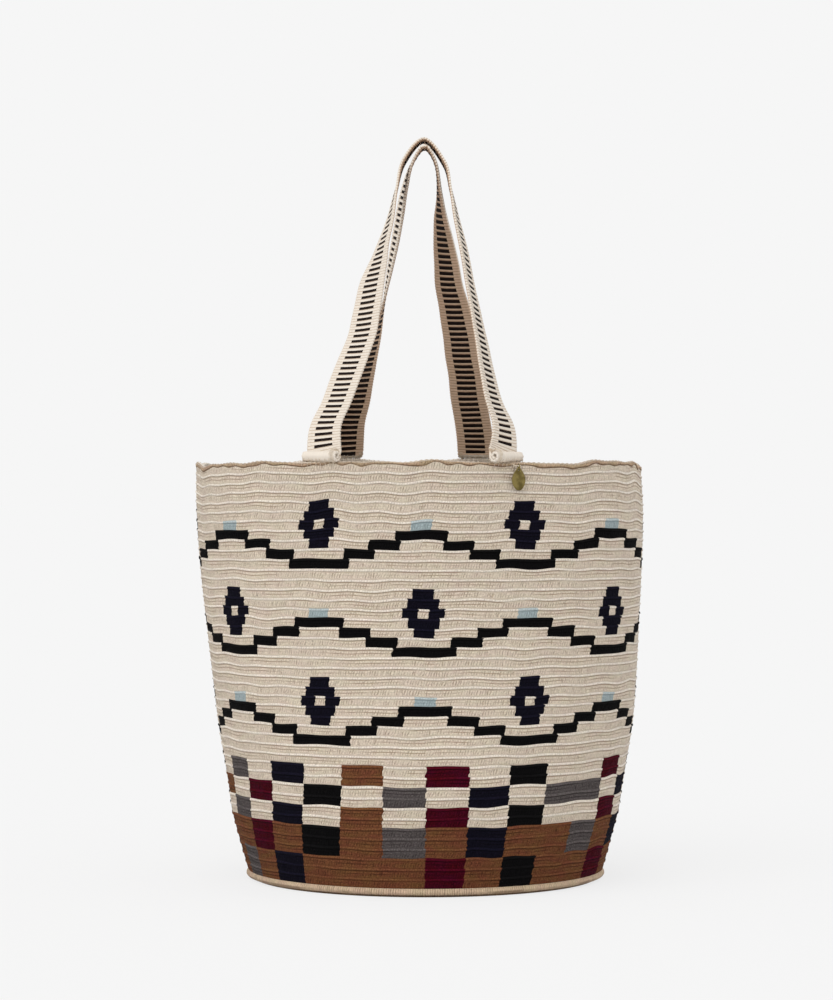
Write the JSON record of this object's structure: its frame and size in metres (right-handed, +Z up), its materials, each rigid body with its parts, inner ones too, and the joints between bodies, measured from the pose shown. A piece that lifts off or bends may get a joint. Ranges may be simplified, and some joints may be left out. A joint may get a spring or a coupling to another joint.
{
  "type": "crocheted bucket tote bag",
  "caption": "Open-topped crocheted bucket tote with a check band at its foot, two woven shoulder straps rolled and sewn on the rim, and a small brass leaf charm.",
  "frame": {"origin": "middle of the bag's footprint on the surface that it stands on, under the middle of the mouth", "axes": "+Z up, -Y out of the front face, +X to the right of someone who faces the front"},
  "size_m": [0.4029, 0.3456, 0.6631],
  "materials": {
    "crochet": "matte mercerised cotton, worked in ridged rounds",
    "strap_weave": "warp-faced cotton band",
    "thread": "twisted cotton sewing thread",
    "brass": "aged, brushed"
  },
  "bodies": {
    "bag": {"bag_body": "crochet", "front_strap": "strap_weave", "back_strap": "strap_weave", "charm_thread": "thread"},
    "ring": {"charm_ring": "brass"},
    "leaf": {"charm_leaf": "brass"}
  },
  "joints": [
    {"name": "ring_swing", "type": "hinge", "parent": "bag", "child": "ring", "pos_m": [0.08562, -0.14027, 0.36747], "axis": [-0.9428, -0.3334, 0], "range_deg": [0, 100]},
    {"name": "leaf_swing", "type": "hinge", "parent": "ring", "child": "leaf", "pos_m": [0.08562, -0.14027, 0.36382], "axis": [0.3334, -0.9428, 0], "range_deg": [-60, 60]}
  ]
}
